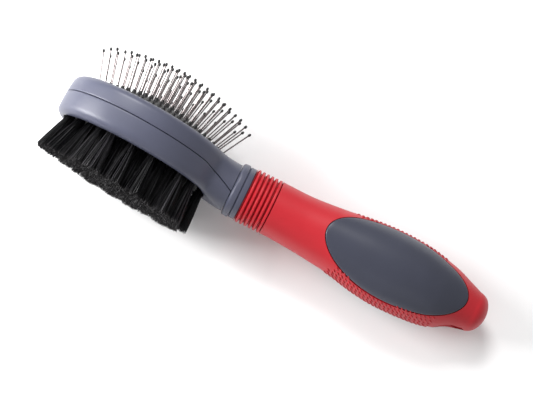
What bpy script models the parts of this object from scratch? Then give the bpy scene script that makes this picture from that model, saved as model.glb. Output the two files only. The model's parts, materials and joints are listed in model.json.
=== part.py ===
"""Double-sided grooming brush: pins in an air cushion on one side, bristle tufts on the other.

Everything is modelled under one parent empty, in the brush's own axes: X along the handle from the
collar towards its end, Y towards the pins, Z sideways.  The empty then lays the brush on its side.
Lengths are in metres.
"""
from math import asin, cos, pi, radians, sin, sqrt, tan

import bmesh
import bpy
from mathutils import Matrix, Vector

# ---------------------------------------------------------------- driving dimensions
GAP = 0.0003                    # clearance between touching pieces
LAY_PITCH = radians(4.4)        # handle end lower, so that head and handle both rest

HEAD_BEND = radians(3.2)        # the head leans towards the pin side at its far end
HEAD_CENTRE = 0.0486            # from the collar to the middle of the oval
HEAD_HALF_LENGTH = 0.0404
HEAD_HALF_WIDTH = 0.0293
HEAD_TOP = 0.0109               # rim towards the pins
HEAD_BOTTOM = -0.0095           # rim towards the bristles
RIM_FILLET = 0.0036
RIM_BULGE = 0.0006              # how far the rim's side swells
NECK_RADIUS = 0.01175
NECK_END = 0.0145               # where the round neck has become the flat slab
NECK_SHARPNESS = 6.0            # how tightly the neck flows into the oval
BEND_END = 0.012                # the bend builds up between the collar and here
STUB_RADIUS = 0.008
STUB_LENGTH = 0.022
HEAD_WALL = 0.0025
CAVITY_START = 0.006

SEAM_HEIGHT = 0.0015            # parting line along the rim
SEAM_KINK = 0.016               # from here it dives to the collar
SEAM_AT_COLLAR = -0.0037

PAD_WINDOW_CENTRE = 0.0459      # oval opening for the cushion
PAD_WINDOW_HALF_LENGTH = 0.0362
PAD_WINDOW_HALF_WIDTH = 0.0240
LIP_THICKNESS = 0.0025

PAD_FLANGE = 0.0007             # how far the cushion's flange reaches under the lip
PAD_FLANGE_THICKNESS = 0.0022
PAD_EDGE = 0.0092               # height of the dome's edge
PAD_CROWN = 0.0185              # height of the dome's middle
PAD_ROUNDNESS = 0.80            # below 1 the dome is more peaked
PAD_THICKNESS = 0.0022
CUSHION_TRAVEL = 0.002          # how far the cushion can be pressed in

PIN_ROWS_EACH_SIDE = 4          # lengthwise rows beside the middle one
PIN_ROW_SPACING = 0.0047        # across the head
PIN_PITCH = 0.0054              # along a row; every other row is shifted by half
PIN_FIRST = 0.0126              # first pin of the middle row, from the collar
PIN_FIELD_CENTRE = 0.0450
PIN_FIELD_HALF_LENGTH = 0.0326
PIN_FIELD_HALF_WIDTH = 0.0207
PIN_WIRE_RADIUS = 0.00034
PIN_BALL_RADIUS = 0.00068
PIN_BALL_LENGTH = 0.0019
PIN_FREE_LENGTH = 0.0186
PIN_HOLE_RADIUS = 0.00090
PIN_RAIL = 0.0008               # thickness of the bar that stands for the pins' flat heads
PIN_FAN_FAR = radians(22)
PIN_FAN_NEAR = radians(29.5)
PIN_FAN_SIDE = radians(30.5)

PLATE_TOP = -0.0030
PLATE_FACE = -0.0080
PLATE_LEDGE = -0.0067
BRISTLE_WINDOW_CENTRE = 0.0471
PLATE_CENTRE = 0.0475
PLATE_HALF_LENGTH = 0.0379
PLATE_HALF_WIDTH = 0.0247
BRISTLE_WINDOW_HALF_LENGTH = 0.0374
BRISTLE_WINDOW_HALF_WIDTH = 0.0237

TUFT_ROWS = 14
TUFT_FIRST = 0.0126
TUFT_LAST = 0.0803
TUFT_SPACING = 0.0072           # across the head
TUFT_FIELD_HALF_LENGTH = 0.0364
TUFT_FIELD_HALF_WIDTH = 0.0195
TUFT_ROOT_RADIUS = 0.0016
TUFT_HOLE_RADIUS = 0.0021
TUFT_ROOT = -0.0050
TUFT_HOLE_END = -0.0038
TUFT_TIP_NEAR = -0.0297          # height of the tips at the first and at the last row
TUFT_TIP_FAR = -0.0270
TUFT_MERGE = 0.0065             # length over which a row's flared tips touch
TUFT_HALF_DEPTH = 0.0024        # half of a row's depth at the tips, along the head
TUFT_LEAN_FAR = radians(15)     # outward lean of the far row
TUFT_LEAN_FAR_START = 0.055
TUFT_LEAN_NEAR = radians(3)     # outward lean of the near row
TUFT_LEAN_NEAR_END = 0.035

COLLAR_END = 0.0070
COLLAR_RADIUS = 0.0132
COLLAR_BEAD = 0.0011

GRIP_START = COLLAR_END + GAP
GRIP_WALL = 0.0030
CORE_WALL = 0.0028
CORE_END = 0.1120
CORE_BORE_END = 0.0245
HANDLE_END = 0.1340
TAIL_START = 0.1266             # from here the end rounds off
# along, top, bottom, half-width
HANDLE_STATIONS = (
    (0.0070, 0.0132, -0.0132, 0.0132),
    (0.0220, 0.0131, -0.0133, 0.0131),
    (0.0350, 0.0129, -0.0140, 0.0132),
    (0.0445, 0.0135, -0.0149, 0.0139),
    (0.0586, 0.0150, -0.0166, 0.0154),
    (0.0710, 0.0164, -0.0191, 0.0169),
    (0.0827, 0.0169, -0.0204, 0.0177),
    (0.0960, 0.0162, -0.0202, 0.0174),
    (0.1060, 0.0144, -0.0193, 0.0159),
    (0.1140, 0.0126, -0.0172, 0.0136),
    (0.1200, 0.0104, -0.0145, 0.0116),
    (0.1266, 0.0079, -0.0124, 0.0098),
)
RIB_COUNT = 6
RIB_PITCH = 0.0022
RIB_FIRST = 0.0086
RIB_HEIGHT = 0.0009

INSET_CENTRE = 0.0842
INSET_HALF_LENGTH = 0.0368
INSET_HALF_HEIGHT = 0.0168
INSET_RISE = 0.0006
INSET_PROUD = 0.0003

HANG_CENTRE = 0.1212
HANG_HALF_LENGTH = 0.0056
HANG_HALF_WIDTH = 0.0032
HANG_LAND_FRONT = (0.1060, 0.0146)      # the flat land round the hang slot, along and up
HANG_LAND_REAR = (0.1270, 0.0066)

GREY = (0.115, 0.122, 0.150)
RED = (0.62, 0.020, 0.034)
RUBBER_BLACK = (0.012, 0.012, 0.013)
STEEL = (0.62, 0.62, 0.63)
BRISTLE_BLACK = (0.010, 0.010, 0.011)


# ---------------------------------------------------------------- helpers
def mix(a, b, amount):
    """Value between a and b."""
    return a + (b - a) * amount


def smooth(value, low, high):
    """Smooth step from 0 at low to 1 at high."""
    t = min(1.0, max(0.0, (value - low) / (high - low)))
    return t * t * (3.0 - 2.0 * t)


def material(name, colour, roughness, metallic=0.0):
    """A plain Principled material."""
    new = bpy.data.materials.new(name)
    new.use_nodes = True
    shader = new.node_tree.nodes["Principled BSDF"]
    shader.inputs["Base Color"].default_value = (*colour, 1.0)
    shader.inputs["Roughness"].default_value = roughness
    shader.inputs["Metallic"].default_value = metallic
    return new


def skin(mesh, rings, closed=False):
    """Add a skin over rings of points; its ends are capped, or the last ring joins the first."""
    made = [[mesh.verts.new(point) for point in ring] for ring in rings]
    pairs = list(zip(made, made[1:]))
    if closed:
        pairs.append((made[-1], made[0]))
    for first, second in pairs:
        for index in range(len(first)):
            after = (index + 1) % len(first)
            mesh.faces.new((first[index], first[after], second[after], second[index]))
    if not closed:
        mesh.faces.new(made[0])
        mesh.faces.new(made[-1])


def finish_mesh(mesh, name, look=None, parent=None):
    """Turn a bmesh into an object whose faces point out."""
    bmesh.ops.remove_doubles(mesh, verts=mesh.verts, dist=1e-6)
    bmesh.ops.dissolve_degenerate(mesh, edges=mesh.edges, dist=1e-7)
    bmesh.ops.recalc_face_normals(mesh, faces=mesh.faces)
    data = bpy.data.meshes.new(name)
    mesh.to_mesh(data)
    mesh.free()
    data.shade_smooth()
    data.set_sharp_from_angle(angle=radians(35))
    made = bpy.data.objects.new(name, data)
    bpy.context.collection.objects.link(made)
    if look:
        data.materials.append(look)
    made.parent = parent
    return made


def boolean(target, operation, cutter):
    """Cut, join or intersect with a guide object."""
    modifier = target.modifiers.new(operation.lower(), "BOOLEAN")
    modifier.operation = operation
    modifier.solver = "EXACT"
    modifier.object = cutter
    cutter.hide_render = True
    cutter.display_type = "WIRE"


def head_point(along, height, side):
    """Place a point of the head, whose slab leans by HEAD_BEND past the neck."""
    bend = smooth(along, 0.0, BEND_END)
    straight = Vector((-along, height, side))
    bent = Vector((height * sin(HEAD_BEND) - along * cos(HEAD_BEND),
                   height * cos(HEAD_BEND) + along * sin(HEAD_BEND), side))
    return straight.lerp(bent, bend)


def oval(centre, half_length, half_width, height, segments=32):
    """An oval ring of the head at one height."""
    turn = [2.0 * pi * index / segments for index in range(segments)]
    return [head_point(centre + half_length * cos(a), height, half_width * sin(a)) for a in turn]


def circle(along, radius, segments=28):
    """A ring round the handle's axis."""
    turn = [2.0 * pi * index / segments for index in range(segments)]
    return [Vector((along, radius * sin(a), radius * cos(a))) for a in turn]


# ---------------------------------------------------------------- head
def head_half_width(along):
    """Half-width of the head's outline on the neck side of its middle."""
    offset = (along - HEAD_CENTRE) / HEAD_HALF_LENGTH
    wide = HEAD_HALF_WIDTH * sqrt(max(0.0, 1.0 - offset * offset))
    fade = smooth(along, NECK_END, HEAD_CENTRE)
    neck = NECK_RADIUS * (1.0 - fade)
    return (neck ** NECK_SHARPNESS + wide ** NECK_SHARPNESS) ** (1.0 / NECK_SHARPNESS)


def rim_profile(round_share, inset):
    """Half section from the top to the bottom: pairs of height and distance in from the rim."""
    top = mix(HEAD_TOP, NECK_RADIUS, round_share) - inset
    bottom = mix(HEAD_BOTTOM, -NECK_RADIUS, round_share) + inset
    radius = max(mix(RIM_FILLET, NECK_RADIUS, round_share) - inset, 0.0006)
    middle = (top + bottom) / 2.0
    bulge = RIM_BULGE * (1.0 - round_share)
    steps = 4
    pairs = [(top - radius * (1.0 - sin(a)), radius * (1.0 - cos(a)))
             for a in (pi / 2.0 * (1.0 - step / steps) for step in range(steps + 1))]
    pairs.append((middle, 0.0))
    pairs += [(bottom + radius * (1.0 - sin(a)), radius * (1.0 - cos(a)))
              for a in (pi / 2.0 * step / steps for step in range(steps + 1))]
    return [(h, d + bulge * ((h - middle) / (top - middle)) ** 2) for h, d in pairs]


def head_ring(half):
    """Close a half section, given as (along, height, side), round the head's middle plane."""
    top, bottom = half[0], half[-1]
    points = [(top[0], top[1], 0.0), *half, (bottom[0], bottom[1], 0.0)]
    points += [(along, height, -side) for along, height, side in reversed(half)]
    return [head_point(*point) for point in points]


def head_rings(inset, start):
    """Sections of the head slab, from the neck to the far tip."""
    rings = []
    stations = [0.0, 0.002, 0.004, 0.006, 0.008, 0.0105, 0.0135, 0.017, 0.022, 0.029, 0.037]
    for along in [start] + [s for s in stations if s > start] + [HEAD_CENTRE]:
        round_share = 1.0 - smooth(along, 0.0, NECK_END)
        width = head_half_width(along) - inset
        pairs = rim_profile(round_share, inset)
        rings.append(head_ring([(along, h, max(width - d, 0.0)) for h, d in pairs]))
    steps = 9
    for step in range(1, steps + 1):
        turn = pi / 2.0 * step / steps
        half = [(HEAD_CENTRE + (HEAD_HALF_LENGTH - inset - d) * sin(turn), h,
                 (HEAD_HALF_WIDTH - inset - d) * cos(turn)) for h, d in rim_profile(0.0, inset)]
        rings.append(head_ring(half))
    return rings


def head_form(name, parent, look=None, inset=0.0, start=0.0, stub=False):
    """The whole head as one closed form, with the stub that enters the handle if asked."""
    rings = head_rings(inset, start)
    if stub:
        share = STUB_RADIUS / NECK_RADIUS
        neck = rings[0]
        ends = [[Vector((x, p.y * share, p.z * share)) for p in neck] for x in (STUB_LENGTH, 0.0)]
        rings = ends + rings
    mesh = bmesh.new()
    skin(mesh, rings)
    return finish_mesh(mesh, name, look, parent)


def seam_side(name, parent, above):
    """Everything on one side of the parting surface, half a gap clear of it."""
    shift = GAP / 2.0 if above else -GAP / 2.0
    far = 0.04 if above else -0.04
    line = [(-0.03, SEAM_AT_COLLAR), (0.0, SEAM_AT_COLLAR), (0.004, mix(SEAM_AT_COLLAR, SEAM_HEIGHT, 0.36)),
            (0.009, mix(SEAM_AT_COLLAR, SEAM_HEIGHT, 0.74)), (SEAM_KINK, SEAM_HEIGHT), (0.1, SEAM_HEIGHT)]
    section = [(s, h + shift) for s, h in line] + [(0.1, far), (-0.03, far)]
    mesh = bmesh.new()
    skin(mesh, [[head_point(s, h, z) for s, h in section] for z in (-0.04, 0.04)])
    return finish_mesh(mesh, name, None, parent)


def window(name, parent, centre, half_length, half_width, low, high):
    """An upright oval block, to cut an opening or to make a plate."""
    mesh = bmesh.new()
    skin(mesh, [oval(centre, half_length, half_width, h) for h in (low, high)])
    return finish_mesh(mesh, name, None, parent)


def pin_frame(parent, grey):
    """Upper half of the head: the frame round the cushion, with half of the neck."""
    frame = head_form("pin_frame", parent, grey, stub=True)
    boolean(frame, "INTERSECT", seam_side("guide_above_seam", parent, True))
    cavity = head_form("guide_frame_cavity", parent, inset=HEAD_WALL, start=CAVITY_START)
    boolean(frame, "DIFFERENCE", cavity)
    boolean(frame, "DIFFERENCE", window("guide_pad_window", parent, PAD_WINDOW_CENTRE,
                                        PAD_WINDOW_HALF_LENGTH, PAD_WINDOW_HALF_WIDTH, 0.0, 0.03))


def bristle_shell(parent, grey):
    """Lower half of the head: holds the bristle plate from inside."""
    shell = head_form("bristle_shell", parent, grey, stub=True)
    boolean(shell, "INTERSECT", seam_side("guide_below_seam", parent, False))
    cavity = head_form("guide_shell_cavity", parent, inset=HEAD_WALL, start=CAVITY_START)
    boolean(shell, "DIFFERENCE", cavity)
    boolean(shell, "DIFFERENCE", window("guide_plate_window", parent, BRISTLE_WINDOW_CENTRE,
                                        BRISTLE_WINDOW_HALF_LENGTH, BRISTLE_WINDOW_HALF_WIDTH,
                                        -0.03, PLATE_LEDGE + 0.001))


# ---------------------------------------------------------------- cushion and pins
def dome_height(along, side):
    """Height of the cushion's outer face."""
    u = (along - PAD_WINDOW_CENTRE) / PAD_WINDOW_HALF_LENGTH
    v = side / PAD_WINDOW_HALF_WIDTH
    return mix(PAD_CROWN, PAD_EDGE, min(1.0, (u * u + v * v)) ** PAD_ROUNDNESS)


def pin_rows():
    """Where the pins stand: for each lengthwise row its pins' roots and directions."""
    rows = []
    for row in range(-PIN_ROWS_EACH_SIDE, PIN_ROWS_EACH_SIDE + 1):
        side = row * PIN_ROW_SPACING
        reach = PIN_FIELD_HALF_LENGTH * sqrt(1.0 - (side / PIN_FIELD_HALF_WIDTH) ** 2)
        lean = PIN_FAN_SIDE * side / PIN_FIELD_HALF_WIDTH
        pins = []
        along = PIN_FIRST + PIN_PITCH * 0.5 * (row % 2)
        while along <= PIN_FIELD_CENTRE + reach:
            offset = (along - PIN_FIELD_CENTRE) / PIN_FIELD_HALF_LENGTH
            if abs(along - PIN_FIELD_CENTRE) <= reach:
                tilt = (PIN_FAN_FAR if offset > 0.0 else PIN_FAN_NEAR) * offset
                root = head_point(along, dome_height(along, side), side)
                tip = head_point(along + tan(tilt), dome_height(along, side) + 1.0, side + tan(lean))
                pins.append((root, (tip - root).normalized()))
            along += PIN_PITCH
        rows.append(pins)
    return rows


def prism(mesh, start, direction, steps, sides, turn=0.0):
    """A turned shape along a direction; steps are pairs of distance from the start and radius."""
    frame = direction.to_track_quat("Z", "Y").to_matrix()
    angles = [turn + 2.0 * pi * index / sides for index in range(sides)]
    skin(mesh, [[start + frame @ Vector((radius * cos(a), radius * sin(a), distance)) for a in angles]
                for distance, radius in steps])


def cushion_pad(parent, rubber, rows):
    """The domed rubber pad, its flange held under the frame's lip, with a hole for every pin."""
    segments = 32
    wall_length = PAD_WINDOW_HALF_LENGTH - GAP
    wall_width = PAD_WINDOW_HALF_WIDTH - GAP
    flange_top = HEAD_TOP - LIP_THICKNESS - GAP
    flange_bottom = flange_top - PAD_FLANGE_THICKNESS
    shares = (0.0, 0.4, 0.75, 1.0)

    def dome_ring(share, drop):
        length = (wall_length - drop) * share
        width = (wall_width - drop) * share
        turn = [2.0 * pi * index / segments for index in range(segments)]
        flat = [(PAD_WINDOW_CENTRE + length * cos(a), width * sin(a)) for a in turn]
        return [head_point(s, dome_height(s, z) - drop, z) for s, z in flat]

    def flat_ring(grow, height):
        return oval(PAD_WINDOW_CENTRE, wall_length + grow, wall_width + grow, height, segments)

    rings = [dome_ring(share, 0.0) for share in shares]
    for grow, height in ((0.0, flange_top), (PAD_FLANGE, flange_top), (PAD_FLANGE, flange_bottom)):
        rings.append(flat_ring(grow, height))
    rings.append(flat_ring(-PAD_THICKNESS, flange_bottom))
    rings += [dome_ring(share, PAD_THICKNESS) for share in reversed(shares)]
    mesh = bmesh.new()
    skin(mesh, rings, closed=True)
    pad = finish_mesh(mesh, "cushion_pad", rubber, parent)
    holes = bmesh.new()
    for pins in rows:
        for root, direction in pins:
            hole = ((0.0, PIN_HOLE_RADIUS), (0.009, PIN_HOLE_RADIUS))
            prism(holes, root - direction * 0.006, direction, hole, 4)
    boolean(pad, "DIFFERENCE", finish_mesh(holes, "guide_pin_holes", None, parent))


def pin_row(parent, name, pins, steel):
    """One row of ball-tipped wires, joined behind the pad by a bar in place of their flat heads."""
    depth = PAD_THICKNESS * 1.45 + GAP + PIN_RAIL
    heads = [root - direction * depth for root, direction in pins]
    ends = [heads[0] + (heads[0] - heads[1]).normalized() * PIN_RAIL, *heads]
    ends.append(heads[-1] + (heads[-1] - heads[-2]).normalized() * PIN_RAIL)
    up = Vector((sin(HEAD_BEND), cos(HEAD_BEND), 0.0))
    side = Vector((0.0, 0.0, 1.0))
    half = PIN_RAIL / 2.0
    corners = ((half, half), (-half, half), (-half, -half), (half, -half))
    mesh = bmesh.new()
    skin(mesh, [[point + side * a + up * b for a, b in corners] for point in ends])
    row = finish_mesh(mesh, name, steel, parent)
    wires = bmesh.new()
    wire, ball = PIN_WIRE_RADIUS, PIN_BALL_RADIUS
    length = depth + PIN_FREE_LENGTH
    ball_start = length - PIN_BALL_LENGTH
    steps = ((0.0, wire), (ball_start, wire), (length - PIN_BALL_LENGTH / 2.0, ball), (length, ball * 0.45))
    for head, (root, direction) in zip(heads, pins):
        prism(wires, head, direction, steps, 4)
    boolean(row, "UNION", finish_mesh(wires, "guide_wires_" + name, None, parent))


# ---------------------------------------------------------------- bristles
def tuft_rows():
    """Where the tufts stand: for each row its place, its lean, its tips' height and its tufts' sides."""
    rows = []
    for row in range(TUFT_ROWS):
        along = mix(TUFT_FIRST, TUFT_LAST, row / (TUFT_ROWS - 1))
        offset = (along - BRISTLE_WINDOW_CENTRE) / TUFT_FIELD_HALF_LENGTH
        reach = TUFT_FIELD_HALF_WIDTH * sqrt(max(0.0, 1.0 - offset * offset))
        shift = 0.5 * (row % 2)
        places = [(k + shift) * TUFT_SPACING for k in range(-4, 5)]
        sides = [side for side in places if abs(side) <= reach]
        far_share = smooth(along, TUFT_LEAN_FAR_START, TUFT_LAST)
        near_share = 1.0 - smooth(along, TUFT_FIRST, TUFT_LEAN_NEAR_END)
        lean = TUFT_LEAN_FAR * far_share - TUFT_LEAN_NEAR * near_share
        tip = mix(TUFT_TIP_NEAR, TUFT_TIP_FAR, row / (TUFT_ROWS - 1))
        rows.append((along, lean, tip, sides))
    return rows


def tuft_point(along, lean, height, side):
    """A point of a leaning tuft, whose root stays where it stands."""
    return head_point(along + (TUFT_ROOT - height) * tan(lean), height, side)


def bristle_plate(parent, plastic, rows):
    """The drilled plate that the tufts stand in."""
    mesh = bmesh.new()
    face = (BRISTLE_WINDOW_HALF_LENGTH - GAP, BRISTLE_WINDOW_HALF_WIDTH - GAP)
    skin(mesh, [oval(PLATE_CENTRE, PLATE_HALF_LENGTH, PLATE_HALF_WIDTH, PLATE_TOP),
                oval(PLATE_CENTRE, PLATE_HALF_LENGTH, PLATE_HALF_WIDTH, PLATE_LEDGE),
                oval(BRISTLE_WINDOW_CENTRE, *face, PLATE_LEDGE),
                oval(BRISTLE_WINDOW_CENTRE, *face, PLATE_FACE)])
    plate = finish_mesh(mesh, "bristle_plate", plastic, parent)
    holes = bmesh.new()
    for along, lean, _, sides in rows:
        for side in sides:
            start = tuft_point(along, lean, PLATE_FACE - 0.002, side)
            end = tuft_point(along, lean, TUFT_HOLE_END, side)
            prism(holes, start, (end - start).normalized(),
                  ((0.0, TUFT_HOLE_RADIUS), ((end - start).length, TUFT_HOLE_RADIUS)), 6)
    boolean(plate, "DIFFERENCE", finish_mesh(holes, "guide_tuft_holes", None, parent))


def bristle_row(parent, name, along, lean, tip, sides, bristle):
    """One row of tufts, which flare until their tips touch."""
    merge_top = tip + TUFT_MERGE
    reach = max(sides) + TUFT_SPACING * 0.42
    band = bmesh.new()
    corners = ((-TUFT_HALF_DEPTH, -reach), (TUFT_HALF_DEPTH, -reach), (TUFT_HALF_DEPTH, reach),
               (-TUFT_HALF_DEPTH, reach))
    skin(band, [[tuft_point(along + shift, lean, h, z) for shift, z in corners] for h in (merge_top, tip)])
    row = finish_mesh(band, name, bristle, parent)
    tufts = bmesh.new()
    wide = TUFT_SPACING * 0.40
    for side in sides:
        rings = []
        steps = ((TUFT_ROOT, TUFT_ROOT_RADIUS, TUFT_ROOT_RADIUS),
                 (merge_top - 0.001, TUFT_HALF_DEPTH * 0.9, wide))
        for height, deep, across in steps:
            turn = [2.0 * pi * index / 6 for index in range(6)]
            rings.append([tuft_point(along + deep * cos(a), lean, height, side + across * sin(a))
                          for a in turn])
        skin(tufts, rings)
    boolean(row, "UNION", finish_mesh(tufts, "guide_tufts_" + name, None, parent))


# ---------------------------------------------------------------- handle
def handle_section(along):
    """Top, bottom and half-width of the handle's plain form at one place."""
    rows = HANDLE_STATIONS
    if along >= TAIL_START:
        share = sqrt(max(0.0, 1.0 - ((along - TAIL_START) / (HANDLE_END - TAIL_START)) ** 2))
        _, top, bottom, wide = rows[-1]
        middle = (top + bottom) / 2.0
        return middle + (top - middle) * share, middle + (bottom - middle) * share, wide * share
    last = len(rows) - 2
    index = max(i for i in range(last + 1) if rows[i][0] <= along or i == 0)
    before, first = rows[max(index - 1, 0)], rows[index]
    second, after = rows[index + 1], rows[min(index + 2, last + 1)]
    step = second[0] - first[0]
    t = (along - first[0]) / step
    values = []
    for k in (1, 2, 3):
        slope_a = (second[k] - before[k]) / (second[0] - before[0]) * step
        slope_b = (after[k] - first[k]) / (after[0] - first[0]) * step
        values.append((2 * t**3 - 3 * t**2 + 1) * first[k] + (t**3 - 2 * t**2 + t) * slope_a
                      + (3 * t**2 - 2 * t**3) * second[k] + (t**3 - t**2) * slope_b)
    return tuple(values)


def handle_point(along, angle, offset):
    """A point round the handle: angle 0 is the side, a quarter turn is towards the pins."""
    top, bottom, wide = handle_section(along)
    return Vector((along, (top + bottom) / 2.0 + ((top - bottom) / 2.0 + offset) * sin(angle),
                   (wide + offset) * cos(angle)))


def handle_ring(along, offset, segments=24):
    """A ring round the handle, offset from its plain form."""
    return [handle_point(along, 2.0 * pi * index / segments, offset) for index in range(segments)]


def collar_ring(parent, grey):
    """The ring that clamps both halves of the neck, with a rounded bead towards the head."""
    start = GAP
    top = COLLAR_RADIUS
    profile = [(start, STUB_RADIUS + GAP), (start, top - COLLAR_BEAD)]
    profile += [(start + COLLAR_BEAD * (1.0 - cos(a)), top - COLLAR_BEAD * (1.0 - sin(a)))
                for a in (radians(30), radians(60), radians(90))]
    profile += [(start + 2.2 * COLLAR_BEAD, top), (start + 2.6 * COLLAR_BEAD, top - 0.0003),
                (COLLAR_END, top - 0.0003), (COLLAR_END, STUB_RADIUS + GAP)]
    mesh = bmesh.new()
    skin(mesh, [circle(x, r) for x, r in profile], closed=True)
    finish_mesh(mesh, "collar_ring", grey, parent)


def handle_block(name, parent, inset, start, end, look=None):
    """A plain solid that follows the handle's form inside it."""
    count = 9
    mesh = bmesh.new()
    skin(mesh, [handle_ring(mix(start, end, index / count), -inset, 20) for index in range(count + 1)])
    return finish_mesh(mesh, name, look, parent)


def round_bar(name, parent, radius, start, end):
    """A round bar on the handle's axis."""
    mesh = bmesh.new()
    skin(mesh, [circle(x, radius, 20) for x in (start, end)])
    return finish_mesh(mesh, name, None, parent)


def handle_core(parent, grey):
    """The hollow hard core: it takes the head's stub and carries the grip and the insets."""
    core = handle_block("handle_core", parent, GRIP_WALL, GRIP_START, CORE_END, grey)
    bore_radius = STUB_RADIUS + GAP
    bore = round_bar("guide_core_bore", parent, bore_radius, 0.0, CORE_BORE_END + 0.004)
    boolean(core, "DIFFERENCE", bore)
    boolean(core, "DIFFERENCE", handle_block("guide_core_hollow", parent, GRIP_WALL + CORE_WALL,
                                             CORE_BORE_END, CORE_END - CORE_WALL))


def inset_form(name, parent, side, grow, outer, inner, look=None):
    """A curved oval plate on one side of the handle: side is +1 or -1, grow widens its outline."""
    steps, across = 12, 6
    rings = []
    for step in range(steps + 1):
        turn = pi * step / steps
        along = INSET_CENTRE - (INSET_HALF_LENGTH + grow) * cos(turn)
        top, bottom, _ = handle_section(along)
        tall = (top - bottom) / 2.0
        half = asin(min(0.99, (INSET_HALF_HEIGHT + grow) * sin(turn) / tall))
        centre = asin(INSET_RISE / tall)
        angles = [centre + half * (2.0 * k / across - 1.0) for k in range(across + 1)]
        ring = [handle_point(along, a, outer) for a in angles]
        ring += [handle_point(along, a, -inner) for a in reversed(angles)]
        rings.append([Vector((p.x, p.y, p.z * side)) for p in ring])
    mesh = bmesh.new()
    skin(mesh, rings)
    return finish_mesh(mesh, name, look, parent)


def grip_sleeve(parent, red):
    """The soft grip over the core: ribs by the collar, a window each side, a hang slot at its end."""
    rings = [handle_ring(GRIP_START, -RIB_HEIGHT)]
    for rib in range(RIB_COUNT):
        middle = RIB_FIRST + rib * RIB_PITCH
        for shift, offset in ((-0.36, -RIB_HEIGHT), (-0.16, 0.0002), (0.16, 0.0002), (0.36, -RIB_HEIGHT)):
            rings.append(handle_ring(middle + shift * RIB_PITCH, offset))
    plain = [0.0212, 0.0240, 0.0330, 0.0430, 0.0530, 0.0630, 0.0730, 0.0830, 0.0930, 0.1020, 0.1090, 0.1150,
             0.1210, TAIL_START]
    rings += [handle_ring(x, 0.0) for x in plain]
    tail = HANDLE_END - TAIL_START
    rings += [handle_ring(TAIL_START + tail * sin(radians(a)), 0.0) for a in (20, 42, 63, 82)]
    mesh = bmesh.new()
    skin(mesh, rings)
    sleeve = finish_mesh(mesh, "grip_sleeve", red, parent)
    boolean(sleeve, "DIFFERENCE", handle_block("guide_core_space", parent, GRIP_WALL - GAP, 0.0,
                                               CORE_END + GAP))
    for side, word in ((1, "left"), (-1, "right")):
        cutter = inset_form("guide_inset_space_" + word, parent, side, GAP, 0.003, GRIP_WALL + 0.001)
        boolean(sleeve, "DIFFERENCE", cutter)
    boolean(sleeve, "DIFFERENCE", hang_slot(parent))
    boolean(sleeve, "DIFFERENCE", hang_land(parent))


def hang_slot(parent):
    """The long hole through the handle's end."""
    steps = 6
    straight = HANG_HALF_LENGTH - HANG_HALF_WIDTH
    outline = []
    for sign in (1.0, -1.0):
        for step in range(steps + 1):
            a = -pi / 2.0 + pi * step / steps
            outline.append((sign * (straight + HANG_HALF_WIDTH * cos(a)), sign * HANG_HALF_WIDTH * sin(a)))
    mesh = bmesh.new()
    skin(mesh, [[Vector((HANG_CENTRE + x, y, z)) for x, z in outline] for y in (-0.03, 0.03)])
    return finish_mesh(mesh, "guide_hang_slot", None, parent)


def hang_land(parent):
    """Everything above the flat land round the hang slot, on the pin side."""
    front = Vector((*HANG_LAND_FRONT, 0.0))
    rear = Vector((*HANG_LAND_REAR, 0.0))
    ahead = (rear - front).normalized()
    up = Vector((-ahead.y, ahead.x, 0.0))
    start = front - ahead * 0.01
    end = rear + ahead * 0.02
    section = (start, end, end + up * 0.02, start + up * 0.02)
    mesh = bmesh.new()
    skin(mesh, [[p + Vector((0.0, 0.0, z)) for p in section] for z in (-0.03, 0.03)])
    return finish_mesh(mesh, "guide_hang_land", None, parent)


# ---------------------------------------------------------------- assembly
def lay_down(brush):
    """Turn the brush onto its side and set it down, centred over the origin."""
    turn = Matrix.Rotation(LAY_PITCH, 4, "Y")
    brush.matrix_world = turn
    bpy.context.view_layer.update()
    graph = bpy.context.evaluated_depsgraph_get()
    points = []
    for piece in bpy.context.scene.objects:
        if piece.type == "MESH" and not piece.hide_render:
            shown = piece.evaluated_get(graph)
            points += [piece.matrix_world @ vertex.co for vertex in shown.data.vertices]
    low = [min(p[k] for p in points) for k in range(3)]
    high = [max(p[k] for p in points) for k in range(3)]
    shift = Vector((-(low[0] + high[0]) / 2.0, -(low[1] + high[1]) / 2.0, -low[2]))
    brush.matrix_world = Matrix.Translation(shift) @ turn
    bpy.context.view_layer.update()


def build():
    """Model every piece of the brush."""
    for old in list(bpy.data.objects):
        bpy.data.objects.remove(old)
    brush = bpy.data.objects.new("brush", None)
    bpy.context.collection.objects.link(brush)
    grey = material("grey_plastic", GREY, 0.38)
    red = material("red_soft_rubber", RED, 0.5)
    rubber = material("black_rubber", RUBBER_BLACK, 0.55)
    steel = material("bright_steel", STEEL, 0.22, 1.0)
    bristle = material("black_nylon", BRISTLE_BLACK, 0.45)
    pin_frame(brush, grey)
    bristle_shell(brush, grey)
    rows = pin_rows()
    cushion_pad(brush, rubber, rows)
    for index, pins in enumerate(rows, 1):
        pin_row(brush, f"pin_row_{index:02d}", pins, steel)
    tufts = tuft_rows()
    bristle_plate(brush, rubber, tufts)
    for index, (along, lean, tip, sides) in enumerate(tufts, 1):
        bristle_row(brush, f"bristle_row_{index:02d}", along, lean, tip, sides, bristle)
    collar_ring(brush, grey)
    handle_core(brush, grey)
    for side, word in ((1, "left"), (-1, "right")):
        inset_form("palm_inset_" + word, brush, side, 0.0, INSET_PROUD, GRIP_WALL - 2.0 * GAP, grey)
    grip_sleeve(brush, red)
    lay_down(brush)


build()
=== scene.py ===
# Looks of the double-sided grooming brush.  Everything is modelled in the brush's own axes: X along the
# handle from the collar towards its end, Y towards the pins, Z sideways.  BRUSH places those axes in the
# frame of the CAD model.  Lengths are in metres.
import json
from math import asin, cos, pi, radians, sin, sqrt, tan

import bmesh
import bpy
import numpy as np
from mathutils import Matrix, Vector


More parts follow.
